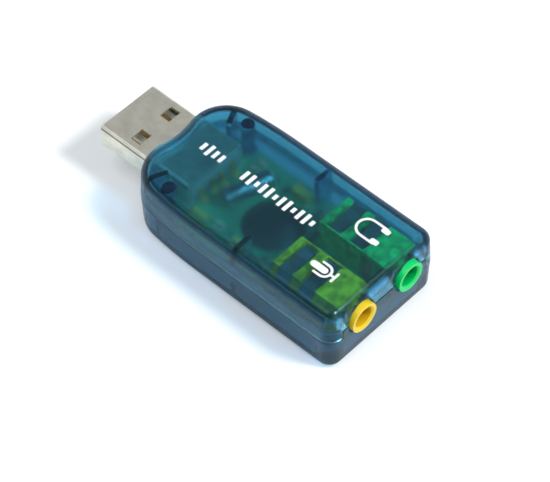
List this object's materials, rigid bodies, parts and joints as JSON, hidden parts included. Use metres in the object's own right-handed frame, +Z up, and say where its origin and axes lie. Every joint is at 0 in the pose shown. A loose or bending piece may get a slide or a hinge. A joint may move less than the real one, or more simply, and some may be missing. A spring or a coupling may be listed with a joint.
{
  "type": "usb sound card",
  "caption": "Plug-in sound card: a flat see-through housing with a USB-A plug at one end and headphone and microphone sockets at the other.",
  "frame": {"origin": "centre of the footprint, on the table, under the middle of the bounding box", "axes": "+X out of the jack sockets, the USB plug points along -X; +Y to the headphone side; +Z up, out of the printed roof"},
  "size_m": [0.0546, 0.024, 0.0126],
  "materials": {
    "clear_teal_lower": "clear, dark blue-green, gloss",
    "clear_teal_upper": "clear, blue-green, gloss",
    "nickel_sheet": "nickel-plated, satin",
    "white_plastic": "satin",
    "gilt_contact": "gilt, polished",
    "board_green": "green solder mask",
    "green_plastic": "satin",
    "yellow_plastic": "satin",
    "spring_metal": "tinned",
    "black_epoxy": "semi-gloss",
    "can_steel": "bright",
    "capacitor_ceramic": "matte",
    "resistor_black": "matte",
    "capacitor_amber": "matte",
    "solder": "bright"
  },
  "bodies": {
    "root": {"lower_shell": "clear_teal_lower", "upper_shell": "clear_teal_upper", "plug_shell": "nickel_sheet", "plug_insulator": "white_plastic", "plug_contact_1": "gilt_contact", "plug_contact_2": "gilt_contact", "plug_contact_3": "gilt_contact", "plug_contact_4": "gilt_contact", "circuit_board": "board_green", "headphone_jack_body": "green_plastic", "microphone_jack_body": "yellow_plastic", "headphone_tip_spring": "spring_metal", "headphone_ring_spring": "spring_metal", "headphone_sleeve_spring": "spring_metal", "microphone_tip_spring": "spring_metal", "microphone_ring_spring": "spring_metal", "microphone_sleeve_spring": "spring_metal", "sound_chip_drop": "black_epoxy", "crystal_can": "can_steel", "chip_capacitors": "capacitor_ceramic", "chip_resistors": "resistor_black", "coupling_capacitors": "capacitor_amber", "solder_joints": "solder"}
  },
  "joints": []
}
